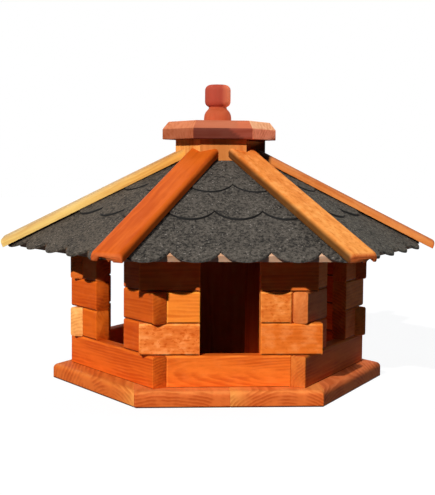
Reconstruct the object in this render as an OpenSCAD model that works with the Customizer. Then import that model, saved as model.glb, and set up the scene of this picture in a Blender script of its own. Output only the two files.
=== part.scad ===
// Six-sided wooden bird feeder of stacked logs under a shingled roof. Millimetres.
// The underside of the floor is z = 0, the front looks along -Y, corners lie on +X and -X.

/* [Floor] */
// ledge of the floor past the walls, square to each side
ledge = 26; // [14:0.5:50]
// floor board thickness
floor_t = 20; // [14:0.5:30]
// width of the two middle boards
floor_board = 118; // [90:1:145]
// rounding of the upper edge of the floor
floor_round = 7; // [2:0.5:12]

/* [Walls] */
// across the outer flats of the walls
wall_flats = 349; // [290:1:420]
// log height
log_h = 40; // [32:0.5:50]
// log thickness
log_t = 20; // [14:0.5:26]
// clear width of each doorway
door_w = 75; // [50:1:100]
// rounding of the upper edges of the rails
rail_round = 3; // [1:0.5:6]

/* [Roof] */
// pitch of each roof face in degrees
pitch = 30; // [24:0.5:38]
// overhang of the deck past the walls, in plan
eave = 69; // [40:1:95]
// deck board thickness
deck_t = 9; // [7:0.5:15]
// shingle thickness
shingle_t = 3; // [2:0.25:5]
// overhang of the shingles past the deck, in plan
shingle_over = 12; // [6:1:20]
// second row of shingles, from the eave up, in plan
row_2 = 73; // [55:1:90]
// third row of shingles, from the second row up, in plan
row_3 = 55.5; // [45:0.5:70]
// width of one scallop
scallop = 60; // [45:1:75]
// scallop depth in plan
scallop_d = 17; // [10:0.5:24]
// batten width
batten_w = 42; // [30:1:55]
// batten height over the ridge that it covers
batten_h = 11.8; // [8:0.1:20]
// depth of the hollow under a batten where it beds on the ridge
batten_bed = 1; // [0.5:0.1:3]
// rounding of the upper edges of a batten
batten_round = 5.5; // [2:0.5:8]
// batten ends past the eave corner of the shingles
batten_past = 9; // [2:0.5:20]

/* [Silo] */
// silo corner to corner
silo_across = 125; // [100:1:155]
// silo wall thickness
silo_t = 12; // [8:0.5:16]
// height of the neck over the shingles at the middle of a side
neck_h = 29.2; // [20:0.1:45]
// width of a feed slot at the foot of the silo
feed_w = 36; // [24:1:44]
// height of a feed slot
feed_h = 15; // [10:0.5:25]

/* [Lid] */
// overhang of the cap past the corners of the silo
cap_over = 16.5; // [8:0.5:30]
// cap thickness
cap_t = 24.6; // [18:0.1:35]
// cap chamfer, down
cap_cut_h = 10.5; // [4:0.5:15]
// cap chamfer, inwards
cap_cut_w = 7.4; // [3:0.1:12]
// plug height under the cap
plug_h = 12; // [6:0.5:20]
// clearance round the plug
plug_gap = 1.75; // [0.5:0.25:4]
// knob height
knob_h = 51.4; // [42:0.1:65]
// upper lobe diameter
knob_d = 35.6; // [30:0.1:44]
// upper lobe rounding
knob_round = 8; // [4:0.5:12]
// lower lobe diameter
foot_d = 38; // [32:0.5:46]
// lower lobe height
foot_h = 18.4; // [14:0.1:23]
// lower lobe rounding
foot_round = 10; // [5:0.5:12]
// diameter of the waist between the lobes
waist_d = 25; // [18:0.5:29]

/* [Hidden] */
$fn = 72;
SIDES = ["front", "front_right", "back_right", "back", "back_left", "front_left"];
HIPS = ["front_right", "right", "back_right", "back_left", "left", "front_left"];

// the courses of logs that NODES names; the lowest course is the rails
courses = 5;
// where the rows were laid on each side, from the eave up: a scallop's middle, to the right of the side's middle
LAID = [[14, 11, -22], [-17, -5, 30], [8, -20, 12], [-10, 16, -14], [20, -8, 26], [-15, -2, 23]];
// clearance between roof layers that lie on each other
seat = 0.02;
// longer than anything that a cutting shape has to pass through
far = 1000;
// how far a cut reaches past what it cuts
past = 5;

C30 = cos(30);
T30 = tan(30);
K = tan(pitch);
// fall of a hip for each millimetre outwards
KH = K * C30;

wall_ap = wall_flats / 2;
wall_in = wall_ap - log_t;
// half lengths: a log that laps its neighbours, and one that butts between them, outside and inside
lap_half = T30 * (wall_ap + log_t);
butt_half = T30 * wall_ap - log_t / C30;
butt_half_in = T30 * wall_in;

floor_ap = wall_ap + ledge;
wall_top = floor_t + courses * log_h;
deck_ap = wall_ap + eave;
eave_ap = deck_ap + shingle_over;
row_2_ap = eave_ap - row_2;
row_3_ap = row_2_ap - row_3;
silo_r = silo_across / 2;
silo_ap = silo_r * C30;
silo_in_r = silo_r - silo_t / C30;

// heights on the axis of the roof planes: wall tops, under the deck, on the deck, under and on the shingles
z_wall = wall_top + K * wall_ap;
z_under = z_wall + seat;
z_deck = z_under + deck_t / cos(pitch);
z_felt = z_deck + seat;
z_skin = z_felt + shingle_t / cos(pitch);
silo_top = z_skin - K * silo_ap + neck_h;

// turn to the side whose outward normal is at 60 * i - 90 degrees, +X along the side, +Y outward
module on_side(i) { rotate([0, 0, 60 * i - 180]) children(); }

// a prism along X through a closed outline of [y, z] points
module along_x(len, pts) {
  translate([-len / 2, 0, 0]) rotate([90, 0, 90]) linear_extrude(len) polygon(pts);
}

// a rectangle on y = 0, centred on x = 0, with its upper corners rounded
module round_top(w, h, r) {
  translate([-w / 2, 0]) square([w, h - r]);
  translate([r - w / 2, 0]) square([w - 2 * r, h]);
  for (side = [-1, 1]) translate([side * (w / 2 - r), h - r]) circle(r);
}

// the solid under the six planes z = z0 - K * apothem
module under_roof(z0) {
  intersection_for (i = [0 : 2])
    rotate([0, 0, 60 * i]) along_x(2 * far, [[-far, z0 - K * far], [0, z0], [far, z0 - K * far]]);
}

// one sixth in plan, as a prism
module sector(i) {
  on_side(i) linear_extrude(far) polygon([[0, 0], [-T30 * far, far], [T30 * far, far]]);
}

// a six-sided prism, corner radius r, that stands on z
module hex_prism(r, z, h) { translate([0, 0, z]) cylinder(r = r, h = h, $fn = 6); }

// k counts boards from the left; seams on the axis and at the outer edges of the two middle boards
module floor_board(k) {
  seams = [-far, -floor_board, 0, floor_board, far];
  color("peru") intersection() {
    intersection_for (i = [0 : 2])
      rotate([0, 0, 60 * i]) translate([-far, 0, 0]) rotate([90, 0, 90])
        linear_extrude(2 * far) round_top(2 * floor_ap, floor_t, floor_round);
    translate([seams[k], -far, -past]) cube([seams[k + 1] - seams[k], 2 * far, floor_t + 2 * past]);
  }
}

module butt_plan() {
  polygon([[-butt_half, wall_ap], [butt_half, wall_ap], [butt_half_in, wall_in], [-butt_half_in, wall_in]]);
}

module lap_plan() { translate([-lap_half, wall_in]) square([2 * lap_half, log_t]); }

// odd sides carry the lapping rails
module rail(i) {
  color("chocolate") on_side(i) intersection() {
    translate([-far, wall_in + log_t / 2, floor_t]) rotate([90, 0, 90])
      linear_extrude(2 * far) round_top(log_t, log_h, rail_round);
    linear_extrude(far) if (i % 2 == 1) lap_plan(); else butt_plan();
  }
}

// the blocks left and right of the doorways in course c; the last course is cut to the roof
module logs(c, lap) {
  rise = K * log_t + past;
  odd = c % 2;
  first = lap ? odd : 1 - odd;
  color("chocolate") intersection() {
    for (i = [first : 2 : 5]) on_side(i) translate([0, 0, floor_t + (c - 1) * log_h]) difference() {
      linear_extrude(c == courses ? log_h + rise : log_h) if (lap) lap_plan(); else butt_plan();
      translate([-door_w / 2, wall_in - past, -past]) cube([door_w, log_t + 2 * past, log_h + rise + 2 * past]);
    }
    under_roof(z_wall);
  }
}

// a deck board has a plumb inner end against the silo and an eave edge square to its face
module deck(i) {
  color("burlywood") intersection() {
    on_side(i) along_x(2 * far, [
      [silo_ap, z_deck - K * silo_ap],
      [deck_ap, z_deck - K * deck_ap],
      [deck_ap - deck_t * sin(pitch), z_deck - K * deck_ap - deck_t * cos(pitch)],
      [silo_ap, z_under - K * silo_ap]
    ]);
    sector(i);
  }
}

// a scalloped sheet in plan: its scallops end at apothem e, and one is centred s to the right of the middle
module scalloped(e, s) {
  r = (scallop * scallop / 4 + scallop_d * scallop_d) / (2 * scallop_d);
  n = ceil(T30 * e / scallop) + 1;
  translate([-(n + 1) * scallop, 0]) square([2 * (n + 1) * scallop, e - scallop_d]);
  for (k = [-n : n]) translate([k * scallop - s, e - r]) circle(r);
}

// an upper row: it leaves the first row at apothem e0 and stands one shingle over it at its scallops
module upper_row(i, e0, e, s) {
  feather = 0.4;
  root = 1;
  g = 2 * (batten_w / 2 + seat);
  on_side(i) intersection() {
    along_x(2 * far, [
      [e0, z_skin - K * e0 + feather], [e, z_skin - K * e + shingle_t / cos(pitch)],
      [e, z_skin - K * e - root], [e0, z_skin - K * e0 - root]
    ]);
    linear_extrude(far) intersection() {
      scalloped(e, s);
      polygon([[0, g], [-T30 * far, far + g], [T30 * far, far + g]]);
    }
  }
}

module shingles(i) {
  color("dimgray") intersection() {
    union() {
      on_side(i) intersection() {
        along_x(2 * far, [
          [silo_ap, z_skin - K * silo_ap], [eave_ap, z_skin - K * eave_ap],
          [eave_ap, z_felt - K * eave_ap], [silo_ap, z_felt - K * silo_ap]
        ]);
        linear_extrude(far) scalloped(eave_ap, LAID[i][0]);
      }
      upper_row(i, row_3_ap - scallop_d, row_2_ap, LAID[i][1]);
      upper_row(i, silo_ap, row_3_ap, LAID[i][2]);
    }
    sector(i);
  }
}

// j counts hips from the front right one; a plank down the hip, bedded on the ridge, notched at the silo
module batten(j) {
  fall = atan(KH);
  run = (eave_ap / C30 + batten_past) / cos(fall);
  depth = (batten_h + batten_bed) * cos(fall);
  color("orange") rotate([0, 0, 60 * j - 60]) difference() {
    translate([0, 0, z_skin + batten_h]) rotate([0, fall, 0]) translate([0, 0, -depth]) intersection() {
      rotate([90, 0, 0]) translate([0, 0, -batten_w / 2])
        linear_extrude(batten_w) round_top(2 * run, depth, batten_round);
      rotate([90, 0, 90]) linear_extrude(run) round_top(batten_w, depth, batten_round);
    }
    under_roof(z_skin + seat);
    hex_prism(silo_r + seat, floor_t, far);
  }
}

module silo() {
  color("wheat") difference() {
    hex_prism(silo_r, floor_t, silo_top - floor_t);
    hex_prism(silo_in_r, floor_t - past, silo_top);
    for (i = [0 : 2]) rotate([0, 0, 60 * i])
      translate([-feed_w / 2, -silo_r, floor_t - past]) cube([feed_w, silo_across, feed_h + past]);
  }
}

module lid_plug() { color("peru") hex_prism(silo_in_r - plug_gap, silo_top - plug_h, plug_h); }

module lid_cap() {
  ap = (silo_r + cap_over) * C30;
  color("sienna") translate([0, 0, silo_top]) intersection_for (i = [0 : 2])
    rotate([0, 0, 60 * i]) along_x(2 * far, [
      [-ap, 0], [ap, 0], [ap, cap_t - cap_cut_h], [ap - cap_cut_w, cap_t],
      [cap_cut_w - ap, cap_t], [-ap, cap_t - cap_cut_h]
    ]);
}

// two lobes on one waist, turned
module lid_knob() {
  color("sienna") translate([0, 0, silo_top + cap_t]) rotate_extrude() intersection() {
    union() {
      round_top(foot_d, foot_h, foot_round);
      square([waist_d / 2, knob_h - knob_round]);
      translate([0, foot_h]) intersection() {
        round_top(knob_d, knob_h - foot_h, knob_round);
        translate([0, knob_h - foot_h]) mirror([0, 1]) round_top(knob_d, knob_h - foot_h, knob_round);
      }
    }
    square([far, knob_h]);
  }
}

for (k = [0 : 3]) floor_board(k);
for (i = [0 : 5]) rail(i);
for (c = [2 : courses]) {
  logs(c, true);
  logs(c, false);
}
for (i = [0 : 5]) deck(i);
for (i = [0 : 5]) shingles(i);
for (j = [0 : 5]) batten(j);
silo();
lid_plug();
lid_cap();
lid_knob();
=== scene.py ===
"""A six-sided bird feeder of stacked pine logs, with a shingled roof and a lift-off lid. All in metres."""
import math

import bpy
import numpy as np
from mathutils import Matrix, Vector


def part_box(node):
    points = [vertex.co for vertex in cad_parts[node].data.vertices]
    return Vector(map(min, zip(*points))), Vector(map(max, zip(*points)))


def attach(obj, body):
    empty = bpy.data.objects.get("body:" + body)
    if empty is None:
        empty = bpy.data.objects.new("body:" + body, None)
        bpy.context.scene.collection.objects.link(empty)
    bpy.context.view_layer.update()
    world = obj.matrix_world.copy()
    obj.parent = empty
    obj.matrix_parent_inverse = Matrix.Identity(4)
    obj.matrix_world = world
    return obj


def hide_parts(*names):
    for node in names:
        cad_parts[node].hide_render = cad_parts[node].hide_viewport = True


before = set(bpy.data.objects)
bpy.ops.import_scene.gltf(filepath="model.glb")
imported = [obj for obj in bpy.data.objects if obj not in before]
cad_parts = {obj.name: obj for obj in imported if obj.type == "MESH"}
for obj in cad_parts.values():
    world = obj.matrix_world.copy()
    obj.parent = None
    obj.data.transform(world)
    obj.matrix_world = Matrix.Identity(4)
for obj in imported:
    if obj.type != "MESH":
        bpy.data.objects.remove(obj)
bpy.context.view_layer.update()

# ------------------------------------------------------------------ camera
# A long lens at table height, a little left of square on, looking slightly
# down on the feeder and leaning half a degree.
AZIMUTH = math.radians(-4.06)
ELEVATION = math.radians(4.18)
LEAN = math.radians(0.48)
AIM_HEIGHT = 0.18257
AIM_SIDEWAYS = -0.00306
DISTANCE = 1.50931

back = Vector((
    math.sin(AZIMUTH) * math.cos(ELEVATION),
    -math.cos(AZIMUTH) * math.cos(ELEVATION),
    math.sin(ELEVATION),
))
level = Vector((math.cos(AZIMUTH), math.sin(AZIMUTH), 0))
upright = back.cross(level)
right = level * math.cos(LEAN) + upright * math.sin(LEAN)
above = upright * math.cos(LEAN) - level * math.sin(LEAN)
eye = Vector((0, 0, AIM_HEIGHT)) + level * AIM_SIDEWAYS + back * DISTANCE
camera = bpy.data.objects.new("camera", bpy.data.cameras.new("camera"))
camera.data.lens = 78.294
camera.data.sensor_width = 36
camera.data.clip_start = 0.05
camera.matrix_world = Matrix((
    (right.x, above.x, back.x, eye.x),
    (right.y, above.y, back.y, eye.y),
    (right.z, above.z, back.z, eye.z),
    (0, 0, 0, 1),
))
bpy.context.scene.collection.objects.link(camera)
bpy.context.scene.camera = camera
bpy.context.scene.view_settings.view_transform = "Standard"


# ------------------------------------------------------------------ floor boards
# Four planed pine boards, 20 mm thick, butted side by side and sawn to a hexagon.
# The upper edge is rounded all round with a router, so the outline shows end grain
# at the front and back. Brushed with an orange glaze, with a painted contact shadow along the foot.
MM = 0.001
FLOOR_HALF = -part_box("floor_board_2")[0].y
FLOOR_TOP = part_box("floor_board_2")[1].z
FLOOR_ROUND = 7 * MM
FLOOR_EASE = 0.5 * MM
FLOOR_SEAMS = [-math.inf, -118 * MM, 0.0, 118 * MM, math.inf]
C30 = math.cos(math.radians(30))
T30 = math.tan(math.radians(30))


def srgb(*levels):
    """Display levels from 0 to 255 as the linear colour that a shader takes."""
    v = np.array(levels) / 255
    return tuple(np.where(v <= 0.04045, v / 12.92, ((v + 0.055) / 1.055) ** 2.4))


class Wire:
    """A shader socket. Arithmetic on it adds Math nodes to its finish."""

    def __init__(self, finish, socket):
        self.finish = finish
        self.socket = socket

    def _math(self, operation, a, b):
        return self.finish.node("Math", {"operation": operation}, {0: a, 1: b})

    def __add__(self, other):
        return self._math("ADD", self, other)

    def __radd__(self, other):
        return self._math("ADD", other, self)

    def __sub__(self, other):
        return self._math("SUBTRACT", self, other)

    def __rsub__(self, other):
        return self._math("SUBTRACT", other, self)

    def __mul__(self, other):
        return self._math("MULTIPLY", self, other)

    def __rmul__(self, other):
        return self._math("MULTIPLY", other, self)

    def __truediv__(self, other):
        return self._math("DIVIDE", self, other)

    def __mod__(self, other):
        return self._math("FLOORED_MODULO", self, other)


class Finish:
    """The node tree of a new material, or of the world, under construction."""

    def __init__(self, name, kind=bpy.data.materials):
        self.material = kind.new(name)
        self.material.use_nodes = True
        self.tree = self.material.node_tree
        self.tree.nodes.clear()

    def node(self, kind, settings=None, sockets=None, out=0):
        """Adds a node, applies its settings and fills or links its sockets. Gives one output, if any."""
        made = self.tree.nodes.new("ShaderNode" + kind)
        for key, value in (settings or {}).items():
            setattr(made, key, value)
        for key, value in (sockets or {}).items():
            names = [s.identifier for s in made.inputs]
            socket = made.inputs[key if isinstance(key, int) else names.index(key)]
            if isinstance(value, Wire):
                self.tree.links.new(value.socket, socket)
            else:
                socket.default_value = value
        names = [s.identifier for s in made.outputs]
        if names:
            return Wire(self, made.outputs[out if isinstance(out, int) else names.index(out)])

    def attribute(self, name, out="Vector"):
        """A value stored on the mesh."""
        return self.node("Attribute", {"attribute_name": name}, out=out)

    def scaled(self, vector, factors):
        """A vector, stretched along each axis by its own factor."""
        return self.node("VectorMath", {"operation": "MULTIPLY"}, {0: vector, 1: factors})

    def noise(self, vector, scale=1.0, detail=2.0):
        """Smooth noise from 0 to 1, about 0.5."""
        return self.node("TexNoise", None, {"Vector": vector, "Scale": scale, "Detail": detail})

    def step(self, value, low, high):
        """0 under low, 1 over high and a smooth rise between them."""
        settings = {"interpolation_type": "SMOOTHSTEP"}
        return self.node("MapRange", settings, {"Value": value, "From Min": low, "From Max": high})

    def blend(self, factor, a, b, mode="MIX"):
        """Colour a turned into b by factor, or tinted by b in another mode."""
        settings = {"data_type": "RGBA", "blend_type": mode, "clamp_result": True}
        sockets = {"Factor_Float": factor, "A_Color": a, "B_Color": b}
        return self.node("Mix", settings, sockets, out="Result_Color")

    def surface(self, sockets):
        """Ends the tree in one Principled shader and returns the material."""
        shader = self.node("BsdfPrincipled", None, sockets)
        self.node("OutputMaterial", None, {"Surface": shader})
        return self.material


def pine(name, ring=4.0, late=0.4, fibre=0.4, bend=10.0, rough=0.6, wiggle=1.4, streaks=170, gloss=0.07):
    """Glazed softwood. Growth rings, ring mm apart on average, follow the distance from the pith line. Slow
    noise shifts them over bend mm and quick noise over wiggle of a ring, and they are strong only in patches.
    Fibres are noise drawn out along the grain, streaks of them to the metre. Rings, as strong as late says,
    and fibres, as strong as fibre says, turn the board's own glaze from its early to its late tone. A mottled
    board also has pale clouds and short dark flecks, and cut ends take up more glaze."""
    plain = (1.0, 1.0, 1.0, 1)
    late_tone = (0.72, 0.52, 0.38, 1)
    cloud_lift = (0.06, 0.09, 0.05, 1)
    fleck_tone = (0.86, 0.66, 0.46, 1)
    cut_tones = (0.76, 0.6, 0.5, 1), (0.46, 0.28, 0.2, 1)
    f = Finish(name)
    grain = f.attribute("grain")
    glaze = f.attribute("glaze", "Color")
    mottled = f.attribute("glaze", "Alpha")
    end = f.attribute("end", "Fac")
    slow = f.noise(f.scaled(grain, (7, 22, 22)))
    wander = f.noise(f.scaled(grain, (20, 95, 95)))
    fine = f.noise(f.scaled(grain, (50, 1400, 1400)))
    streak = f.noise(f.scaled(grain, (12, streaks, streaks)), detail=3.0)
    broad = f.noise(f.scaled(grain, (9, 45, 45)))
    cloud = f.noise(f.scaled(grain, (70, 100, 100)), detail=3.0)
    tick = f.noise(f.scaled(grain, (190, 330, 330)), detail=1.0)
    radius = f.node("VectorMath", {"operation": "LENGTH"}, {0: f.scaled(grain, (0, 1, 1))}, out="Value")
    radius = radius + (slow - 0.5) * (bend * MM) + (wander - 0.5) * (ring * wiggle * MM)
    phase = (radius / (ring * MM)) % 1.0
    band = f.step(phase, 0.0, 0.72) * (1 - f.step(phase, 0.76, 1.0)) * f.step(broad, 0.34, 0.6)
    lines = band * late + (streak - 0.5) * (fibre * 2.0) + (fine - 0.5) * (fibre * 0.5) + (broad - 0.5) * 0.5
    tone = f.step(lines * (1 - mottled * 0.6) + (0.5 - cloud) * mottled * 1.6 + 0.34, 0.0, 1.0)
    wood = f.blend(tone, plain, late_tone)
    wood = f.blend(1.0, glaze, wood, "MULTIPLY")
    pale = f.step(cloud, 0.46, 0.74) * mottled
    wood = f.blend(pale, wood, f.blend(1.0, wood, cloud_lift, "ADD"))
    fleck = f.step(tick, 0.58, 0.66) * mottled
    wood = f.blend(fleck, wood, f.blend(1.0, wood, fleck_tone, "MULTIPLY"))
    cut = f.blend(band * 0.6 + fine * 0.3, *cut_tones)
    wood = f.blend(end, wood, f.blend(1.0, wood, cut, "MULTIPLY"))
    relief = {"Strength": 0.25, "Distance": 0.3 * MM, "Height": fine * 0.6 + streak + cloud}
    height = f.node("Bump", None, relief)
    return f.surface({
        "Base Color": wood,
        "Roughness": rough + streak * 0.12,
        "Specular IOR Level": gloss,
        "Normal": height,
    })


def inset(outline, depth):
    """A closed anticlockwise outline, moved inwards square to itself by depth."""
    run = np.roll(outline, -1, 0) - np.roll(outline, 1, 0)
    run /= np.linalg.norm(run, axis=1)[:, None]
    return outline + depth * np.stack([-run[:, 1], run[:, 0]], 1)


def fillet(corners, radii, steps=4, land=0.8):
    """Rounds an anticlockwise polygon: each corner becomes an arc of its radius that touches both edges, with
    one more point on each edge, land mm past the arc, to keep the flats flat. Millimetres in, metres out."""
    p = np.array(corners, float)
    r = np.broadcast_to(np.array(radii, float), len(p))[:, None]
    a = np.roll(p, 1, 0) - p
    b = np.roll(p, -1, 0) - p
    a /= np.linalg.norm(a, axis=1)[:, None]
    b /= np.linalg.norm(b, axis=1)[:, None]
    half = np.arccos(np.clip((a * b).sum(1), -1, 1))[:, None] / 2
    touch = r / np.tan(half)
    middle = p + (a + b) / np.linalg.norm(a + b, axis=1)[:, None] * r / np.sin(half)
    w = np.linspace(0, 1, steps + 1)[None, :, None]
    arm_a = (p + a * touch - middle)[:, None]
    arm_b = (p + b * touch - middle)[:, None]
    open_angle = np.pi - 2 * half[:, :, None]
    arc = (np.sin((1 - w) * open_angle) * arm_a + np.sin(w * open_angle) * arm_b) / np.sin(open_angle)
    arc = arc + middle[:, None]
    before = (p + a * (touch + land))[:, None]
    after = (p + b * (touch + land))[:, None]
    return np.concatenate([before, arc, after], 1).reshape(-1, 2) * MM


def loft(rings):
    """Faces of the closed skin over rings[level, point]: quads between levels, and the end rings filled."""
    levels, points = rings.shape[:2]
    at = np.arange(levels * points).reshape(levels, points)
    quads = np.stack([at[:-1], np.roll(at[:-1], -1, 1), np.roll(at[1:], -1, 1), at[1:]], -1)
    faces = quads.reshape(-1, 4).tolist() + [at[0, ::-1].tolist(), at[-1].tolist()]
    flat = rings.reshape(-1, 3)
    a, b, c = flat[quads[..., 0]], flat[quads[..., 1]], flat[quads[..., 2]]
    d = flat[quads[..., 3]]
    centre = flat.mean(0)
    volume = (np.cross(c - a, d - b) * (a - centre)).sum()
    return faces if volume > 0 else [face[::-1] for face in faces]


def turned(degrees, out, along, up):
    """Points out from the axis at a bearing, along square to that (to the right from outside), and up."""
    c, s = math.cos(math.radians(degrees)), math.sin(math.radians(degrees))
    out, along, up = np.broadcast_arrays(out, along, up)
    return np.stack([out * c - along * s, out * s + along * c, up], -1)


def make(name, node, shells, materials, body="feeder", smooth=40):
    """One piece from closed shells (rings, glaze, grain axis, pith point, end take-up), each with its own
    board coordinates: along the grain, and two ways across it from the pith."""
    points, faces, grains, glazes, axes = [], [], [], [], []
    for rings, glaze, axis, pith, take_up in shells:
        base = sum(map(len, points))
        flat = rings.reshape(-1, 3)
        axis = np.array(axis, float) / np.linalg.norm(axis)
        side = np.cross(axis, (0, 0, 1) if abs(axis[2]) < 0.9 else (0, 1, 0))
        side /= np.linalg.norm(side)
        rel = flat - np.array(pith)
        points.append(flat)
        grains.append(np.stack([rel @ axis, rel @ side, rel @ np.cross(axis, side)], 1))
        glazes.append(np.broadcast_to(glaze, (*rings.shape[:2], 4)).reshape(-1, 4))
        new = loft(rings)
        axes += [(*axis, take_up)] * len(new)
        faces += [[base + k for k in face] for face in new]
    mesh = bpy.data.meshes.new(name)
    mesh.from_pydata(np.concatenate(points).tolist(), [], faces)
    normal = np.zeros(len(faces) * 3)
    mesh.polygons.foreach_get("normal", normal)
    axes = np.array(axes)
    end = np.abs((normal.reshape(-1, 3) * axes[:, :3]).sum(1)) * axes[:, 3]
    for key, kind, domain, field, values in (
        ("grain", "FLOAT_VECTOR", "POINT", "vector", np.concatenate(grains)),
        ("glaze", "FLOAT_COLOR", "POINT", "color", np.concatenate(glazes)),
        ("end", "FLOAT", "FACE", "value", end),
    ):
        mesh.attributes.new(key, kind, domain).data.foreach_set(field, values.ravel())
    mesh.polygons.foreach_set("use_smooth", [True] * len(faces))
    mesh.set_sharp_from_angle(angle=math.radians(smooth))
    for material in materials:
        mesh.materials.append(material)
    piece = bpy.data.objects.new(name, mesh)
    bpy.context.scene.collection.objects.link(piece)
    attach(piece, body)
    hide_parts(node)
    return piece


def board_outline(low, high, depth, gap):
    """A floor board in plan: the strip of the hexagon between two seams. The hexagon is moved in by depth and
    the seams by gap. Its half width at x is the lesser of the apothem and root three times the way to the
    corner."""
    apothem = FLOOR_HALF - depth
    corner = apothem / C30
    low = max(low + gap, -corner)
    high = min(high - gap, corner)
    keys = [low] + [x for x in (-corner / 2, corner / 2) if low < x < high] + [high]
    x = np.concatenate([np.linspace(a, b, 9)[:-1] for a, b in zip(keys, keys[1:])] + [[high]])
    half = np.minimum(apothem, (corner - np.abs(x)) / T30)
    lower = np.stack([x, -half], 1)
    upper = np.stack([x, half], 1)[::-1]
    return np.concatenate([lower, upper[upper[:, 1] > 1e-9]])


def board_rings(low, high):
    """The board's outline at each height, from the underside up and over the rounded edge."""
    turn = np.linspace(0, math.pi / 2, 9)
    ease = FLOOR_EASE
    upright_side = (ease, 2.4 * ease, 4.4 * ease, FLOOR_TOP - FLOOR_ROUND - MM)
    levels = [(0, ease, ease), *((z, 0, 0) for z in upright_side)]
    for a in turn:
        depth = FLOOR_ROUND * (1 - math.cos(a))
        z = FLOOR_TOP - FLOOR_ROUND * (1 - math.sin(a))
        levels.append((z, depth, ease * max(0, (z - FLOOR_TOP) / ease + 1)))
    levels.append((FLOOR_TOP, FLOOR_ROUND + MM, 1.5 * MM))
    rings = []
    for z, depth, gap in levels:
        plan = board_outline(low, high, depth, gap + 0.05 * MM)
        rings.append(np.column_stack([plan, np.full(len(plan), z)]))
    return np.array(rings)


floor_pine = pine("floor_glaze", ring=4.2, late=0.55, fibre=0.25, bend=7, wiggle=0.5)
# Top tint, edge tint, pith (x, z), and where sapwood starts (x, and the way it goes from there).
FLOOR_BOARDS = [
    ((226, 124, 48), (222, 112, 44), (-146, -12), (-134, 1)),
    ((248, 145, 73), (233, 116, 49), (-80, -250), (math.inf, 1)),
    ((249, 147, 73), (232, 117, 50), (70, -60), (17.6, -1)),
    ((232, 126, 68), (214, 110, 50), (150, -30), (math.inf, 1)),
]
SAPWOOD = (252, 164, 79)
SAP_FADE = 8
EDGE_FADE = 3
# Height and darkness of the painted contact shadow along the boards' foot.
FOOT_LINE = 1.5
FOOT_PAINTED_SHADOW = 0.1
for k, (top_tint, edge_tint, (pith_x, pith_z), (sap_x, sap_way)) in enumerate(FLOOR_BOARDS):
    rings = board_rings(FLOOR_SEAMS[k], FLOOR_SEAMS[k + 1])
    x, z = rings[..., :1], rings[..., 2:]
    upper = np.clip((z - FLOOR_TOP) / (EDGE_FADE * MM) + 1.6, 0, 1)
    sap = np.clip(sap_way * (x / MM - sap_x) / SAP_FADE, 0, 1)
    glaze = np.array(srgb(*top_tint)) * upper + np.array(srgb(*edge_tint)) * (1 - upper)
    glaze = glaze * (1 - sap) + np.array(srgb(*SAPWOOD)) * sap
    # Painted contact shadow: the glaze is darkened along the foot, where the board meets the floor.
    glaze = glaze * np.where(z < FOOT_LINE * MM, FOOT_PAINTED_SHADOW, 1)
    glaze = np.concatenate([glaze, np.full_like(x, 0.05)], -1)
    shell = (rings, glaze, (0, 1, 0), (pith_x * MM, 0.3 * k, pith_z * MM), 0.25)
    make(f"tray_board_{k + 1}", f"floor_board_{k + 1}", [shell], [floor_pine])


# ------------------------------------------------------------------ rails
# The lowest course of the walls: six whole logs, 20 by 40 mm, that close the tray.
# Every second one laps the ends of its neighbours, and the others butt between them.
# Upper edges rounded, glued and pinned to the floor.
SIDES = ["front", "front_right", "back_right", "back", "back_left", "front_left"]
LOG_T = 20
LOG_H = 40
WALL_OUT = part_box("rail_front")[0].y / -MM
WALL_IN = WALL_OUT - LOG_T
LAP_END = T30 * (WALL_OUT + LOG_T)
LOG_EASE = 1
# How much the painted highlight adds to each colour on the upper edges and ends, and how much painted shade
# takes along the foot.
EDGE_HIGHLIGHT_LIFT = (0.12, 0.36, 0.5)
LOW_EDGE_SHADE = 0.7


def lapped(u):
    """Where a lapping log ends: a plain saw cut square to it."""
    return np.full_like(u, LAP_END * MM)


def butted(u):
    """Where a butting log ends: on the inner face of its neighbour, further along inside than outside."""
    return T30 * (2 * WALL_IN * MM - u)


def log_rings(outline, start, stop):
    """A log: its outline[u, z] carried along the side from start(u) to stop(u), with its ends eased."""
    e = LOG_EASE * MM
    ends = [(0, e), (0.3 * e, 0.3 * e), (e, 0), (e + MM, 0)]
    rings = []
    for shift, depth in ends:
        ring = inset(outline, depth)
        rings.append((ring, start(ring[:, 0]) + shift))
    first = rings[-1][1]
    last = stop(outline[:, 0]) - e - MM
    for w in (0.25, 0.5, 0.75):
        rings.append((outline, first + w * (last - first)))
    for shift, depth in ends[::-1]:
        ring = inset(outline, depth)
        rings.append((ring, stop(ring[:, 0]) - shift))
    return np.array([np.column_stack([ring[:, 0], s, ring[:, 1]]) for ring, s in rings])


def edge_lit_glaze(rings, tint, mottle):
    """A log's glaze: a painted highlight along its upper edges and round its ends, and painted shade along
    its lower edges.
    The first two of the outline's four corners are the lower ones, and each has seven points."""
    levels, points = rings.shape[:2]
    corner, step = np.divmod(np.arange(points), 7)
    rounded = np.isin(step, (2, 3, 4))
    end_rings = [0, 1, 2, -3, -2, -1]
    end_edge = np.zeros(levels)
    end_edge[end_rings] = (0.3, 1, 0.5, 0.5, 1, 0.3)
    between_ends = np.ones(levels)
    between_ends[end_rings] = 0
    # Painted shade along the lower edges, where the logs meet the floor and each other.
    edge_shade = LOW_EDGE_SHADE * np.outer(between_ends, rounded & (corner < 2))[..., None]
    # Painted highlight along the upper edges and round the ends.
    edge_highlight = np.maximum(rounded & (corner >= 2), end_edge[:, None])[..., None]
    colour = np.clip(np.array(srgb(*tint)) * (1 + edge_highlight * EDGE_HIGHLIGHT_LIFT) * (1 - edge_shade), 0, 1)
    return np.concatenate([colour, np.full_like(edge_highlight, mottle)], -1)


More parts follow.
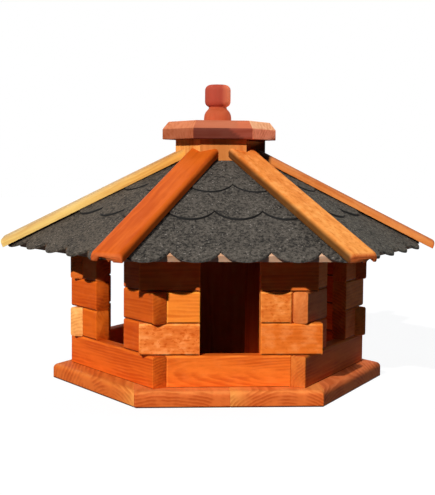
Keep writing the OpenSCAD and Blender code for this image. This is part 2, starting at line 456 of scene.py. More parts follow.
def log_shell(i, rings, tint, pith, take_up, mottle, lean=0):
    """A log of side i. The pith lies out and up from the middle of the log's foot, in millimetres, and leans
    out to the right by lean degrees, which draws pointed arches on the face."""
    bearing = 60 * i - 90
    placed = turned(bearing, rings[..., 0], rings[..., 1], rings[..., 2])
    along = turned(bearing, math.sin(math.radians(lean)), math.cos(math.radians(lean)), 0)
    base = rings.reshape(-1, 3).min(0)[2]
    out = (WALL_IN + LOG_T / 2 + pith[0]) * MM
    point = turned(bearing, out, 0.37 * pith[1] * MM, base + pith[1] * MM)
    return placed, edge_lit_glaze(rings, tint, mottle), along, point, take_up


rail_pine = pine("rail_glaze", ring=3.6, late=0.45, fibre=0.5, bend=6, wiggle=0.8, streaks=300)
# Tint, pith (out, up), end take-up, mottle, lean of the pith.
RAILS = [
    ((240, 118, 36), (-3, 17), 0.4, 0.1, 9),
    ((200, 100, 35), (40, -25), 0.05, 0.1, 0),
    ((228, 110, 36), (-26, 10), 0.6, 0.2, 6),
    ((236, 120, 40), (-20, 60), 0.4, 0.2, 0),
    ((224, 100, 30), (-30, 22), 0.5, 0.2, -8),
    ((224, 99, 26), (-16, -24), 0.25, 0.05, 3),
]
for i, (tint, pith, take_up, mottle, lean) in enumerate(RAILS):
    foot = FLOOR_TOP / MM
    corners = [(WALL_IN, foot), (WALL_OUT, foot), (WALL_OUT, foot + LOG_H), (WALL_IN, foot + LOG_H)]
    section = fillet(corners, [1, 1, 3, 3])
    reach = lapped if i % 2 else butted
    rings = log_rings(section, lambda u: -reach(u), reach)
    shell = log_shell(i, rings, tint, pith, take_up, mottle, lean)
    make(f"tray_rail_{SIDES[i]}", f"rail_{SIDES[i]}", [shell], [rail_pine])


# ------------------------------------------------------------------ wall logs
# Four more courses of the same logs, sawn off at the doorways in the middle of each
# side. Lapping and butting logs swap from course to course, like the corners of a
# log cabin, and the top course is planed to the slope of the roof.
COURSES = 5
DOOR = 37.5
PITCH = math.tan(math.radians(30))
ROOF_FOOT = FLOOR_TOP / MM + COURSES * LOG_H
# Logs set apart by (course, side, left or right of the doorway): tint, pith (out, up), end take-up, mottle.
LOG_TINTS = {
    (2, 0, -1): ((247, 135, 56), (6, -16), 0.3, 1.0),
    (2, 0, 1): ((236, 121, 39), (-14, 60), 0.3, 0.5),
    (3, 0, -1): ((255, 144, 48), (-10, -30), 0.3, 0.12),
    (3, 0, 1): ((243, 139, 57), (-4, -12), 0.3, 0.9),
    (4, 0, -1): ((232, 118, 44), (-14, 50), 0.3, 0.2),
    (4, 0, 1): ((236, 122, 46), (-10, -40), 0.3, 0.2),
    (3, 5, 1): ((209, 93, 23), (-10, -34), 0.15, 0.1),
    (3, 5, -1): ((215, 92, 19), (-10, 56), 0.6, 0.1),
    (2, 5, -1): ((226, 103, 23), (-12, 44), 0.4, 0.1),
    (2, 5, 1): ((218, 94, 24), (-16, 40), 0.0, 0.1),
    (4, 5, 1): ((228, 100, 30), (-10, -34), 0.3, 0.3),
    (2, 4, 1): ((246, 166, 90), (-10, -34), 0.1, 0.2),
    (3, 1, -1): ((206, 112, 51), (-12, 50), 0.05, 0.2),
}
PALETTE = [(236, 122, 44), (228, 106, 32), (242, 134, 50), (222, 98, 28), (232, 114, 40), (246, 142, 54)]
# Sawn by hand: doorway edges of the front, and logs whose outer ends run on or stop short.
DOOR_EDGES = {(0, -1): 36.4, (0, 1): 39.5}
LONG_ENDS = {(2, 0, 1): 6.0, (3, 1, -1): -5.5}


def sloped(rings, base, outline_top):
    """Lowers the top of a log where it runs on under the next side of the roof, in proportion to height."""
    u, s, z = np.moveaxis(rings, -1, 0)
    beyond = np.maximum(0, C30 * np.abs(s) - u / 2)
    share = np.clip((z - base) / (outline_top - base), 0, 1)
    return np.stack([u, s, z - PITCH * beyond * share], -1)


wall_pine = pine("log_glaze", ring=4.4, late=0.35, fibre=0.35, bend=12)
chance = np.random.default_rng(6)
for course in range(2, COURSES + 1):
    foot = FLOOR_TOP / MM + (course - 1) * LOG_H
    top = foot + LOG_H
    rise = PITCH * LOG_T if course == COURSES else 0
    corners = [(WALL_IN, foot), (WALL_OUT, foot), (WALL_OUT, top), (WALL_IN, top + rise)]
    section = fillet(corners, 2.8)
    for lap in (True, False):
        shells = []
        for i in range(6):
            if (i % 2 == course % 2) != lap:
                continue
            reach = lapped if lap else butted
            for hand in (-1, 1):
                tint = PALETTE[chance.integers(len(PALETTE))]
                pith = (chance.uniform(-30, 20), chance.choice([-1, 1]) * chance.uniform(15, 50) + 20)
                tint, pith, take_up, mottle = LOG_TINTS.get((course, i, hand), (tint, pith, 0.5, 0.3))
                edge = DOOR_EDGES.get((i, hand), DOOR)
                extra = LONG_ENDS.get((course, i, hand), 0)
                door = lambda u: np.full_like(u, edge * MM)
                if hand > 0:
                    rings = log_rings(section, door, lambda u: reach(u) + extra * MM)
                else:
                    rings = log_rings(section, lambda u: -reach(u) - extra * MM, lambda u: -door(u))
                if course == COURSES:
                    rings = sloped(rings, foot * MM, top * MM)
                shells.append(log_shell(i, rings, tint, pith, take_up, mottle))
        kind = "long" if lap else "short"
        make(f"course_{course}_{kind}", f"logs_{course}_{kind}", shells, [wall_pine])


# ------------------------------------------------------------------ roof deck
# Six faces of bare 9 mm softwood, each of three boards side by side along the eave,
# mitred at the hips. They lie on the top course and carry the shingles. The boards'
# lower edges are chamfered, which leaves a groove at each joint underneath.
DECK_T = 9
DECK_V = 1.6
DECK_OUT = WALL_OUT + 69
SILO_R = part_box("silo")[1].x / MM
SILO_OUT = SILO_R * C30
ROOF_COS = math.cos(math.radians(30))
# Heights where the deck's two planes would meet the feeder's axis.
AXIS_UNDER = ROOF_FOOT + PITCH * WALL_OUT + 0.02
AXIS_DECK = AXIS_UNDER + DECK_T / ROOF_COS
BARE_WOOD = (224, 180, 146)
# Deck faces whose bare wood is darkened as painted shade.
SHADED_DECK_SIDES = {"front_left": 0.25}
deck_pine = pine("bare_pine", ring=4.0, late=0.3, fibre=0.4, rough=0.7)


def deck_rings():
    """A deck face: its section[u, z], carried from hip to hip, as wide at each u as the roof is there."""
    joint_1 = SILO_OUT + (DECK_OUT - SILO_OUT) / 3
    joint_2 = DECK_OUT - (DECK_OUT - SILO_OUT) / 3
    corners = [
        (SILO_OUT, AXIS_UNDER - PITCH * SILO_OUT),
        *[(u + du, AXIS_UNDER - PITCH * (u + du) + dz)
          for u in (joint_1, joint_2) for du, dz in ((-DECK_V, 0), (0, DECK_V), (DECK_V, 0))],
        (DECK_OUT - DECK_T / 2, AXIS_DECK - PITCH * DECK_OUT - DECK_T * ROOF_COS),
        (DECK_OUT, AXIS_DECK - PITCH * DECK_OUT),
        (SILO_OUT, AXIS_DECK - PITCH * SILO_OUT),
    ]
    section = fillet(corners, 0.25, steps=2, land=0.3)
    v = np.linspace(-1, 1, 5)[:, None]
    u = np.broadcast_to(section[:, 0], (len(v), len(section)))
    return np.stack([u, v * (T30 * u - 0.05 * MM), np.broadcast_to(section[:, 1], u.shape)], -1)


for i, side in enumerate(SIDES):
    rings = deck_rings()
    bearing = 60 * i - 90
    placed = turned(bearing, rings[..., 0], rings[..., 1], rings[..., 2])
    # The front-left deck's wood is multiplied down as painted shade.
    bare = np.array(srgb(*BARE_WOOD)) * SHADED_DECK_SIDES.get(side, 1)
    shell = (placed, (*bare, 0.15), turned(bearing, 0, 1, 0), turned(bearing, 0.12, i, 0.3), 0.2)
    make(f"roof_boards_{side}", f"deck_{side}", [shell], [deck_pine])


# ------------------------------------------------------------------ shingles
# Bitumen felt 3 mm thick with dark mineral grit rolled into it, cut in a row of
# shallow scallops. Each face has three rows, nailed from the eave up, and each
# upper row laps the one below by more than a scallop. The cut edges are bare bitumen.
FELT_T = 3
UPPER_T = 2.5
CURL = 0.8
ROW_ENDS = [DECK_OUT + 12, DECK_OUT - 61, DECK_OUT - 116.5]
SCALLOP = 60
SCALLOP_D = 17
ARC = (SCALLOP * SCALLOP / 4 + SCALLOP_D * SCALLOP_D) / (2 * SCALLOP_D)
AXIS_FELT = AXIS_DECK + 0.02
AXIS_SKIN = AXIS_FELT + FELT_T / ROOF_COS
# Each face's felt tone, partly its own and partly painted light: the front-right face is made lighter to
# stand in for light.
FELT_TONES_AND_LIGHT = [
    (0.97, 0.94, 0.95), (1.14, 1.14, 1.12), (0.95, 0.9, 0.85),
    (1, 1, 1), (0.9, 0.86, 0.82), (0.92, 0.83, 0.77),
]
# How far each side's three rows are laid to the right of its middle.
LAID = [(14, 11, -22), (-17, -5, 30), (8, -20, 12), (-10, 16, -14), (20, -8, 26), (-15, -2, 23)]


def grit():
    """Mineral grit on felt: each cell of a fine cell pattern is one grain with its own grey and its own
    crown, under broad patches, and one grain in eighty is pale. The strip's tone, partly the face's own
    and partly painted light, turns them all."""
    f = Finish("mineral_grit")
    where = f.node("TexCoord", None, None, out="Object")
    cells = {"Vector": where, "Scale": 700.0, "Randomness": 1.0}
    random = f.node("TexVoronoi", None, cells, out="Color")
    crown = f.node("TexVoronoi", None, cells, out="Distance")
    pick = f.node("SeparateColor", None, {"Color": random}, out="Red")
    rare = f.node("SeparateColor", None, {"Color": random}, out="Green")
    clump = f.noise(where, scale=240.0, detail=3.0)
    patch = f.noise(where, scale=26.0, detail=3.0)
    shade = pick * 0.45 + clump * 1.5 + patch * 0.5 - 0.73
    dark, light, pale = ((*srgb(*tone), 1) for tone in ((24, 23, 21), (100, 94, 84), (134, 128, 118)))
    grey = f.blend(f.step(shade, 0.0, 1.0), dark, light)
    grey = f.blend(f.step(rare, 0.984, 0.992), grey, pale)
    grey = f.blend(1.0, grey, f.attribute("glaze", "Color"), "MULTIPLY")
    height = f.node("Bump", None, {"Strength": 0.6, "Distance": 0.7 * MM, "Height": clump * 0.6 - crown})
    return f.surface({"Base Color": grey, "Roughness": 0.92, "Specular IOR Level": 0.15, "Normal": height})


def bitumen():
    """The cut edge: near-black, with the felt's threads as fine noise."""
    f = Finish("bitumen_edge")
    where = f.node("TexCoord", None, None, out="Object")
    noise = f.noise(where, scale=900.0)
    return f.surface({
        "Base Color": f.blend(noise, (*srgb(9, 8, 7), 1), (*srgb(26, 24, 22), 1)),
        "Roughness": 0.75,
        "Specular IOR Level": 0.2,
    })


def row_shape(end, shift):
    """Columns s and how far out each reaches: arcs of radius ARC that meet in notches SCALLOP apart."""
    reach = math.asin(SCALLOP / 2 / ARC)
    turn = np.linspace(-reach, reach, 15)
    count = math.ceil(T30 * end / SCALLOP) + 1
    middles = shift + SCALLOP * np.arange(-count, count + 1)[:, None]
    s = (middles + ARC * np.sin(turn))[:, :-1].ravel()
    out = np.broadcast_to(end - ARC + ARC * np.cos(turn), (len(middles), len(turn)))[:, :-1].ravel()
    return s, out


def row_rings(row, shift, wave):
    """A row as thin sheet: each column runs from the row's start, or from the hip, down the roof to its
    scallop edge. Its top rises to one felt thickness over the row below, and every scallop curls by its own
    small lift. The middle row starts under the notches of the top one."""
    end = ROW_ENDS[row]
    start = ROW_ENDS[2] - SCALLOP_D if row == 1 else SILO_OUT
    s, out = row_shape(end, shift)
    hip = np.maximum(start, np.abs(s) / T30 + 0.05)
    keep = hip < out - 1.0
    s, out, hip = s[keep], out[keep], hip[keep]
    lobe = np.round((s - shift) / SCALLOP).astype(int)
    lift = wave.uniform(0.0, CURL, 64)[lobe + 32]
    across = (s - shift - SCALLOP * lobe) / (SCALLOP / 2)
    w = np.array([0, 0.4, 0.75, 0.9, 0.97, 1.0])
    u = hip[:, None] + w * (out - hip)[:, None]
    plane = (AXIS_SKIN if row else AXIS_FELT) - PITCH * u
    climb = (u - start) / (end - start)
    thick = (UPPER_T if row else FELT_T) / ROOF_COS
    top = plane + (0.4 + (thick - 0.4) * climb if row else thick)
    curl = np.clip((w - 0.6) / 0.4, 0, 1) ** 2 * lift[:, None] * (1 - 0.5 * across[:, None] ** 2)
    if row == 0:
        curl = -curl
    top = top + curl - 0.35 * (w == 1)
    under = plane + (curl if row == 0 else np.maximum(curl, 0) * 0.8) - (0.3 if row else 0)
    mid = top[:, -1:] * 0.5 + under[:, -1:] * 0.5
    ring_u = np.concatenate([u, u[:, -1:] + 0.25, u[:, ::-1]], 1)
    ring_z = np.concatenate([top, mid, under[:, ::-1]], 1)
    ring_s = np.broadcast_to(s[:, None], ring_u.shape)
    return np.stack([ring_u, ring_s, ring_z], -1) * MM, len(w)


grit_felt = grit()
cut_felt = bitumen()
for i, side in enumerate(SIDES):
    bearing = 60 * i - 90
    wave = np.random.default_rng(40 + i)
    shells = []
    slots = []
    for row, shift in enumerate(LAID[i]):
        rings, columns = row_rings(row, shift, wave)
        placed = turned(bearing, rings[..., 0], rings[..., 1], rings[..., 2])
        shells.append((placed, (*FELT_TONES_AND_LIGHT[i], 0), (0, 0, 1), (0, 0, 0), 0.0))
        levels, points = rings.shape[:2]
        strip = np.zeros(points, int)
        strip[columns - 1:columns + 1] = 1 if row else 0
        slots += np.tile(strip, levels - 1).tolist() + [1, 1]
    finishes = [grit_felt, cut_felt]
    piece = make(f"shingle_rows_{side}", f"shingles_{side}", shells, finishes, smooth=30)
    piece.data.polygons.foreach_set("material_index", slots)


# ------------------------------------------------------------------ hip battens
# Six moulded boards, 42 by 11 mm, nailed down the hips over the meeting edges of the
# shingles, each rocking a little on the ridge. Two relief grooves run along the
# underside, and the upper edges and the nose are rounded. Each has its own glaze, with painted
# shade down the front-right one's left flank and a painted shadow on the right one's head.
BATTEN_W = 42
BATTEN_ROUND = 5.5
# How far the nose runs past the felt's corner, how high the top lies over the ridge, and the hip's slope.
BATTEN_PAST = 9
RIDGE_RISE = 11.8
FALL = math.atan(PITCH * C30)
BATTEN_DEPTH = (RIDGE_RISE + 1) * math.cos(FALL)
HIPS = ["front_right", "right", "back_right", "back_left", "left", "front_left"]
ROCK_TRIM = 0.17
# Grooves in the underside: from, to, depth.
RELIEF_A = [(-13, 1.5, 6.0), (3, 8.5, 2.5)]
RELIEF_B = [(-3, 1.5, 1.2), (6, 17, 4.5)]
# Slot; tints at the head, lower down, on the crown and at the nose; pith (across, up), mottle, relief, rock
# in degrees, and how bright the left flank and the head are, as painted shade and painted shadow (1 for
# none).
BATTENS = [
    ("batten_orange", [(249, 147, 64), (255, 168, 82), (255, 167, 81), (236, 124, 62)],
     (4, -30), 0.7, RELIEF_B, 0.5, 0.14, 1.0),
    ("batten_orange", [(233, 142, 71), (233, 142, 71), (204, 126, 80), (226, 116, 56)],
     (-8, -24), 0.2, RELIEF_A, 3.0, 1.0, 0.06),
    ("batten_red", [(224, 104, 42)] * 4, (6, -20), 0.2, RELIEF_B, -2.0, 1.0, 1.0),
    ("batten_orange", [(238, 138, 60)] * 4, (-10, -30), 0.3, RELIEF_A, 2.5, 1.0, 1.0),
    ("batten_honey", [(247, 178, 80), (250, 214, 125), (211, 184, 128), (250, 218, 136)],
     (-6, -40), 0.1, RELIEF_B, -3.5, 1.0, 1.0),
    ("batten_red", [(212, 98, 22), (212, 97, 22), (212, 97, 22), (222, 112, 54)],
     (8, -34), 0.06, RELIEF_A, -2.0, 1.0, 1.0),
]
# Painted shade on the outline's last points, from the crown down the left flank, and the share of the lower
# tint at some of the rings.
FLANK_FADE = np.array([0, 0.1, 0.25, 0.45, 0.7, 0.9, 1, 1])
LOW_RINGS = [0, 2, 3, 4, 5]
LOW_FADE = [0, 0.1, 0.4, 0.8, 1]
NOSE_RINGS = 8


def batten_outline(drop, relief):
    """The plank's section (across, up from its top plane): half ellipses (from, to, depth) cut underneath,
    rounded upper edges, and the top lowered by drop for the rounded nose."""
    half = BATTEN_W / 2
    turn = np.linspace(0, math.pi, 9)
    hollows = [
        np.stack([(a + b) / 2 - (b - a) / 2 * np.cos(turn), depth * np.sin(turn) - BATTEN_DEPTH], 1)
        for a, b, depth in relief
    ]
    side = np.linspace(0, math.pi / 2, 7)
    rim = half - BATTEN_ROUND
    right_arc = np.stack([rim + BATTEN_ROUND * np.cos(side), BATTEN_ROUND * (np.sin(side) - 1) - drop], 1)
    low_side = 0.4 - BATTEN_DEPTH
    return np.concatenate([
        [(0.4 - half, -BATTEN_DEPTH)], *hollows, [(half - 0.4, -BATTEN_DEPTH), (half, low_side)],
        right_arc, [(rim - 0.8, -drop), (0.8 - rim, -drop)], right_arc[::-1] * (-1, 1), [(-half, low_side)],
    ])


def batten_rings(relief, rock):
    """A batten in hip coordinates: plumb cuts round the silo's corner at its head, the section carried down
    the fall, and a nose whose top follows a quarter circle. The section is turned by rock about its bed, and
    the nose drawn back a little for each degree of it."""
    run = (ROW_ENDS[0] / C30 + BATTEN_PAST) / math.cos(FALL) - abs(rock) * ROCK_TRIM
    turn = np.linspace(0, math.pi / 2, NOSE_RINGS)
    rings = []
    for share in (0, 0.06, 0.08, 0.3, 0.6, 0.9):
        flat = batten_outline(0, relief)
        head = SILO_R + 0.05 - T30 * np.abs(flat[:, 0])
        head = (head - flat[:, 1] * math.sin(FALL)) / math.cos(FALL)
        rings.append((head + share * (run - BATTEN_ROUND - 1 - head), flat))
    for a in turn:
        flat = batten_outline(BATTEN_ROUND * (1 - math.cos(a)), relief)
        rings.append((np.full(len(flat), run - BATTEN_ROUND + BATTEN_ROUND * math.sin(a)), flat))
    rings[-1] = (rings[-1][0] - 0.4, rings[-1][1])
    rings.append((np.full(len(flat), run), inset(flat, 0.5)))
    lean = math.radians(rock)
    placed = []
    for x, flat in rings:
        rise = flat[:, 1] + BATTEN_DEPTH
        across = flat[:, 0] * math.cos(lean) - rise * math.sin(lean)
        high = flat[:, 0] * math.sin(lean) + rise * math.cos(lean) - BATTEN_DEPTH
        out = x * math.cos(FALL) + high * math.sin(FALL)
        up = AXIS_SKIN + RIDGE_RISE - x * math.sin(FALL) + high * math.cos(FALL)
        placed.append(np.column_stack([out, across, up]))
    return np.array(placed) * MM


batten_pine = pine("batten_glaze", ring=5.0, late=0.3, fibre=0.4, bend=14)
for j, (slot, tints, pith, mottle, relief, rock, flank_shade, head) in enumerate(BATTENS):
    rings = batten_rings(relief, rock)
    levels, points = rings.shape[:2]
    shade = np.ones((levels, points))
    # Painted shade down the left flank.
    shade[:, -len(FLANK_FADE):] = 1 - (1 - flank_shade) * FLANK_FADE
    # Painted shadow over the first rings at the head.
    shade[:2] *= head
    crown = np.clip(1 + batten_outline(0, relief)[:, 1] / BATTEN_ROUND, 0, 1)[:, None]
    ring = np.arange(levels)[:, None, None]
    nose = np.clip((ring - levels + NOSE_RINGS) / 4, 0, 1)
    low = np.interp(ring, LOW_RINGS, LOW_FADE)
    high_glaze, low_glaze, crown_glaze, nose_glaze = (np.array(srgb(*t)) for t in tints)
    glaze = high_glaze + low * (low_glaze - high_glaze)
    glaze = glaze * (1 + crown * (crown_glaze / low_glaze - 1))
    glaze = glaze + nose * (nose_glaze - glaze)
    glaze = np.concatenate([shade[..., None] * glaze, mottle * shade[..., None]], -1)
    bearing = 60 * j - 60
    placed = turned(bearing, rings[..., 0], rings[..., 1], rings[..., 2])
    axis = turned(bearing, math.cos(FALL), 0, -math.sin(FALL))
    point = turned(bearing, 0, pith[0] * MM, (AXIS_SKIN + pith[1]) * MM) + axis * 0.4 * j
    shell = (placed, glaze, axis, point, 0.0)
    make(f"hip_batten_{HIPS[j]}", f"batten_{HIPS[j]}", [shell], [batten_pine])


# ------------------------------------------------------------------ silo
# A hexagonal tube of six upright 12 mm pine boards, mitred and glued at the corners,
# from the tray floor up through the roof. Each board has a slot at its foot where
# the seed runs out. Lighter than the logs, with one thin coat, and painted shade at one end:
# darker down in the tray on most boards, and darker at the top on the front-right one.
SILO_T = 12
SILO_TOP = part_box("silo")[1].z / MM
SLOT_W = 36
SLOT_H = 15
silo_pine = pine("silo_glaze", ring=4.4, late=0.45, fibre=0.5, gloss=0)
# Tint, and the painted shade: how bright it is at the height of the tray and at the top.
SILO_BOARDS = [
    ((217, 136, 70), 0.3, 1.0),
    ((206, 112, 54), 1.0, 0.3),
    ((226, 140, 72), 0.3, 1.0),
    ((220, 134, 66), 0.3, 1.0),
    ((228, 144, 76), 0.3, 1.0),
    ((247, 169, 88), 0.3, 1.0),
]


def silo_rings():
    """One board of the tube: a section[u, z] carried from mitre to mitre, its foot raised over the slot."""
    inner = SILO_OUT - SILO_T
    foot = FLOOR_TOP / MM
    half = SLOT_W / 2
    places = [("mitre", -1), ("mitre", -0.94)]
    places += [("cut", at) for at in (-half, 0.2 - half, 1 - half, -half / 2)]
    places += [(kind, -at) for kind, at in places[::-1]]
    lifts = [0, 0, 0, SLOT_H - 1, SLOT_H, SLOT_H]
    lifts += lifts[::-1]
    rings = []
    for (kind, at), lift in zip(places, lifts):
        low = foot + lift
        corners = [(inner, low), (SILO_OUT, low), (SILO_OUT, SILO_TOP), (inner, SILO_TOP)]
        section = fillet(corners, 0.5, 3, 1.0)
        u = section[:, 0]
        s = at * (T30 * u - 0.08 * MM) if kind == "mitre" else np.full_like(u, at * MM)
        rings.append(np.column_stack([u, s, section[:, 1]]))
    return np.array(rings)


shells = []
for i, (tint, tray_painted_shade, top_painted_shade) in enumerate(SILO_BOARDS):
    rings = silo_rings()
    bearing = 60 * i - 90
    placed = turned(bearing, rings[..., 0], rings[..., 1], rings[..., 2])
    point = turned(bearing, 0.02, (9 - 7 * i) * MM, 0.7 * i)
    # Painted shade: the glaze darkens from one end of the board to the other.
    shade = tray_painted_shade + (top_painted_shade - tray_painted_shade) * rings[..., 2:] / (SILO_TOP * MM)
    glaze = np.concatenate([shade * srgb(*tint), np.full_like(shade, 0.15)], -1)
    shells.append((placed, glaze, (0, 0, 1), point, 0.5))
make("silo_boards", "silo", shells, [silo_pine])


# ------------------------------------------------------------------ lid
# A chamfered hexagonal cap of one board, a plug under it that drops into the silo, and
# a turned knob of two lobes, glued on with a dowel. All of reddish wood, darker on the
# left where the heartwood is, and with the cap's right-hand sides and bevels lightened as painted light.
CAP_T = 24.6
CAP_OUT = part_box("lid_cap")[1].y / MM
CAP_CUT_H = 10.5
CAP_CUT_W = 7.4
PLUG_H = 12
PLUG_R = (SILO_OUT - SILO_T) / C30 - 1.75
LID_X = -1.9 * MM
KNOB_X = -4.4 * MM
PER_SIDE = 22
# Tints of the cap's sides and bevels, one for each sector. The front and back are darker wood; the two
# right-hand sectors are lighter than the left as painted light from the right.
CAP_SIDE_TONES_AND_LIGHT = [
    (251, 148, 109), (155, 75, 57), (237, 130, 85),
    (237, 130, 85), (155, 75, 57), (251, 148, 109),
]
CAP_BEVEL_TONES_AND_LIGHT = [
    (255, 190, 142), (202, 110, 76), (213, 129, 86),
    (213, 129, 86), (202, 110, 76), (255, 190, 142),
]
PLUG_TINT = (214, 132, 70)
LOBE_TINTS = (188, 91, 57), (246, 137, 98)
# How much heartwood takes from each colour of the cap's sides, of its bevels and of the knob. On the sides it
# ends along a slanting line, given by its slant and its reach, and on the others at an x, over some fade.
CAP_HEART = (0.48, 0.43, 0.39)
BEVEL_HEART = (0.13, 0.04, 0)
KNOB_HEART = (0.5, 0.7, 0.64)
HEART_SLANT = (0.57, 0.82)
HEART_REACH = 12
BEVEL_SPLIT, BEVEL_FADE = 20, 4
KNOB_SPLIT, KNOB_FADE = 13.5, 9
WAIST = 20.5


def hexagon(apothem, round_):
    """A hexagon with its corners on the X axis, rounded. Six points a corner and 16 a side make PER_SIDE."""
    turn = np.radians(60 * np.arange(6))
    corner = apothem / C30
    corners = np.stack([corner * np.cos(turn), corner * np.sin(turn)], 1)
    plan = fillet(corners, round_, 3, 0.6).reshape(6, 6, 2)
    along = np.linspace(0, 1, 18)[1:-1, None]
    start, stop = plan[:, -1:], np.roll(plan, -1, 0)[:, :1]
    return np.concatenate([plan, start + along * (stop - start)], 1).reshape(-1, 2)


def stacked(levels, round_):
    """Hexagons one over another, given as (height, apothem)."""
    return np.array([
        np.column_stack([plan, np.full(len(plan), z * MM)])
        for z, plan in ((z, hexagon(apothem, round_)) for z, apothem in levels)
    ])


cap_pine = pine("cap_glaze", ring=5.0, late=0.35, fibre=0.45)
knob_pine = pine("knob_glaze", ring=6.0, late=0.15, fibre=0.2)
plug_out = PLUG_R * C30
plug = stacked([
    (SILO_TOP - PLUG_H, plug_out - 1), (SILO_TOP - PLUG_H + 1, plug_out), (SILO_TOP - 0.05, plug_out),
], 0.8)
plug[..., 0] += LID_X
shell = (plug, (*srgb(*PLUG_TINT), 0.3), (1, 0, 0), (0.2, 0.02, 0.3), 0.0)
make("lid_plug_board", "lid_plug", [shell], [cap_pine], body="lid")

bevel_z = CAP_T - CAP_CUT_H
cap = stacked([(SILO_TOP + z, CAP_OUT - d) for z, d in [
    (0, 0.8), (0.25, 0.25), (0.8, 0), (1.6, 0), (4, 0), (6.5, 0), (9, 0), (11.5, 0),
    (bevel_z - 1.2, 0), (bevel_z - 0.4, 0.05), (bevel_z + 0.3, 0.4), (bevel_z + 1.2, 0.85),
    (CAP_T - 1.2, CAP_CUT_W - 0.85), (CAP_T - 0.3, CAP_CUT_W - 0.05),
    (CAP_T, CAP_CUT_W + 0.8), (CAP_T, CAP_CUT_W + 2),
]], 0.8)
cap[..., 0] += LID_X
place = np.arange(cap.shape[1])
sector = (place // PER_SIDE - (place % PER_SIDE < 3)) % 6
height = cap[..., 2] / MM - SILO_TOP
slanting = HEART_SLANT[0] * cap[..., 0] / MM + HEART_SLANT[1] * (height - 4)
heart = np.clip(HEART_REACH - slanting, 0, 1)[..., None]
# Sides and bevels take their sector's tint, the right-hand ones lightened as painted light.
sides = np.stack(srgb(*np.array(CAP_SIDE_TONES_AND_LIGHT)[sector].T), -1) * (1 - heart * CAP_HEART)
bevels = np.stack(srgb(*np.array(CAP_BEVEL_TONES_AND_LIGHT)[sector].T), -1)
ruddy = np.clip((BEVEL_SPLIT - cap[..., :1] / MM) / BEVEL_FADE, 0, 1) * (sector % 3 == 1)[None, :, None]
bevels = bevels * (1 - ruddy * BEVEL_HEART)
glaze = np.where((height > bevel_z)[..., None], bevels, sides)
glaze = np.concatenate([glaze, np.full_like(heart, 0.05)], -1)
shell = (cap, glaze, (1, 0, 0), (-0.018 + LID_X, 0.02, SILO_TOP * MM - 0.035), 0.0)
make("lid_cap_board", "lid_cap", [shell], [cap_pine], body="lid")


def lobed():
    """The knob's profile (height, radius): a domed foot, a waist, and a drum with both edges rounded."""
    drum_r, drum_in, drum_z = 8, 9.8, (28.4, 43.4)
    drum_low = np.linspace(-1.2, 0, 7)
    drum_high = np.linspace(0, math.pi / 2, 9)
    points = [
        (0, 18.5), (0.5, 19), (3, 19), (6, 18.9), (8.5, 18.6), (10.5, 18.1), (12.3, 17.4), (13.9, 16.5),
        (15.3, 15.4), (16.6, 14.2), (17.8, 13.1), (18.8, 12.5), (19.8, 12.4),
    ]
    for z, turn in zip(drum_z, (drum_low, drum_high)):
        points += [(z + drum_r * math.sin(a), drum_in + drum_r * math.cos(a)) for a in turn]
    points += [(drum_z[1] + drum_r, drum_in - 1.2)]
    return np.array(points)


profile = lobed()
around = np.linspace(0, 2 * math.pi, 64, endpoint=False)
radius = profile[:, 1:] * MM
height = np.broadcast_to((SILO_TOP + CAP_T + profile[:, :1]) * MM, (len(profile), len(around)))
knob = np.stack([radius * np.cos(around), radius * np.sin(around), height], -1)
lower = (profile[:, 0] < WAIST)[:, None, None]
heart = np.clip((KNOB_SPLIT - knob[..., :1] / MM) / KNOB_FADE, 0, 1) * ~lower
glaze = np.where(lower, *(srgb(*tint) for tint in LOBE_TINTS)) * (1 - heart * KNOB_HEART)
glaze = np.concatenate([glaze, np.full_like(heart, 0.03)], -1)
knob[..., 0] += KNOB_X
shell = (knob, glaze, (0, 0, 1), (KNOB_X, -0.006, 0.2), 0.0)
make("lid_knob_turned", "lid_knob", [shell], [knob_pine], body="lid")


# ------------------------------------------------------------------ stage and light
# A plain white floor under the feeder, a key lamp from the front left, softer lamps
# from behind on both sides, and a narrow one on the lid's right side.
STAGE_R = 9
STAGE_DROP = 0.0003
GLINT_FROM = (1.2, -0.04, (SILO_TOP + 200) * MM)


def shine(name, degrees, height, strength, spread, colour=(1, 1, 1)):
    """A lamp at a bearing from the front (left is negative) and a height, both in degrees."""
    lamp = bpy.data.objects.new(name, bpy.data.lights.new(name, "SUN"))
    lamp.data.energy = strength
    lamp.data.angle = math.radians(spread)
    lamp.data.color = colour
    a, h = math.radians(degrees), math.radians(height)
    toward = Vector((math.sin(a) * math.cos(h), -math.cos(a) * math.cos(h), math.sin(h)))
    lamp.rotation_mode = "QUATERNION"
    lamp.rotation_quaternion = toward.to_track_quat("Z", "Y")
    bpy.context.scene.collection.objects.link(lamp)


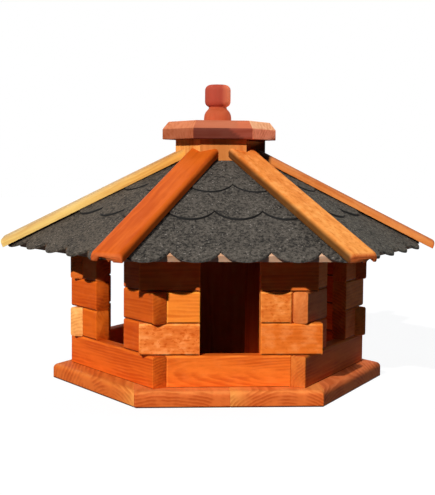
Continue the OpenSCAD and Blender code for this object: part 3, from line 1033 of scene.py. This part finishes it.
shine("key", -30.5, 26.8, 4.0, 1.0)
shine("rim", 97, 60, 0.7, 25, (0.94, 0.97, 1.0))
shine("behind", -155, 40, 0.7, 40)
glint = bpy.data.objects.new("glint", bpy.data.lights.new("glint", "SPOT"))
glint.data.energy = 29
glint.data.spot_size = math.radians(20.2)
glint.data.spot_blend = 0.02
glint.data.shadow_soft_size = 0.005
glint.location = GLINT_FROM
glint.rotation_mode = "QUATERNION"
glint.rotation_quaternion = Vector((1, 0, 0)).to_track_quat("Z", "Y")
bpy.context.scene.collection.objects.link(glint)


def seen_directly(finish):
    """1 for rays that show the background itself, straight or in a reflection."""
    camera_ray = finish.node("LightPath", None, None, out="Is Camera Ray")
    glossy = finish.node("LightPath", None, None, out="Is Glossy Ray")
    through = finish.node("LightPath", None, None, out="Is Transmission Ray")
    return camera_ray + glossy + through


def stage_finish():
    """White where it is seen, less a faint shadow, and a dull floor for the light that it throws back."""
    f = Finish("stage")
    dull = f.node("BsdfDiffuse", None, {"Color": (0.03, 0.045, 0.07, 1)})
    pale = f.node("BsdfDiffuse", None, {"Color": (0.14, 0.14, 0.14, 1)})
    glow = f.node("Emission", None, {"Color": (1, 1, 1, 1), "Strength": 0.9})
    both = f.node("AddShader", None, {0: pale, 1: glow})
    shown = f.node("MixShader", None, {0: seen_directly(f), 1: dull, 2: both})
    f.node("OutputMaterial", None, {"Surface": shown})
    return f.material


mesh = bpy.data.meshes.new("stage")
turn = np.linspace(0, 2 * math.pi, 96, endpoint=False)
disc = np.stack([STAGE_R * np.cos(turn), STAGE_R * np.sin(turn), 0 * turn - STAGE_DROP], 1)
mesh.from_pydata(disc.tolist(), [], [list(range(len(turn)))])
mesh.materials.append(stage_finish())
stage = bpy.data.objects.new("stage", mesh)
bpy.context.scene.collection.objects.link(stage)

sky = Finish("surround", bpy.data.worlds)
fill = sky.node("Background", None, {"Color": (0.35, 0.8, 1.6, 1), "Strength": 0.04})
white = sky.node("Background", None, {"Color": (1, 1, 1, 1), "Strength": 1.0})
mixed = sky.node("MixShader", None, {0: seen_directly(sky), 1: fill, 2: white})
sky.node("OutputWorld", None, {"Surface": mixed})
bpy.context.scene.world = sky.material
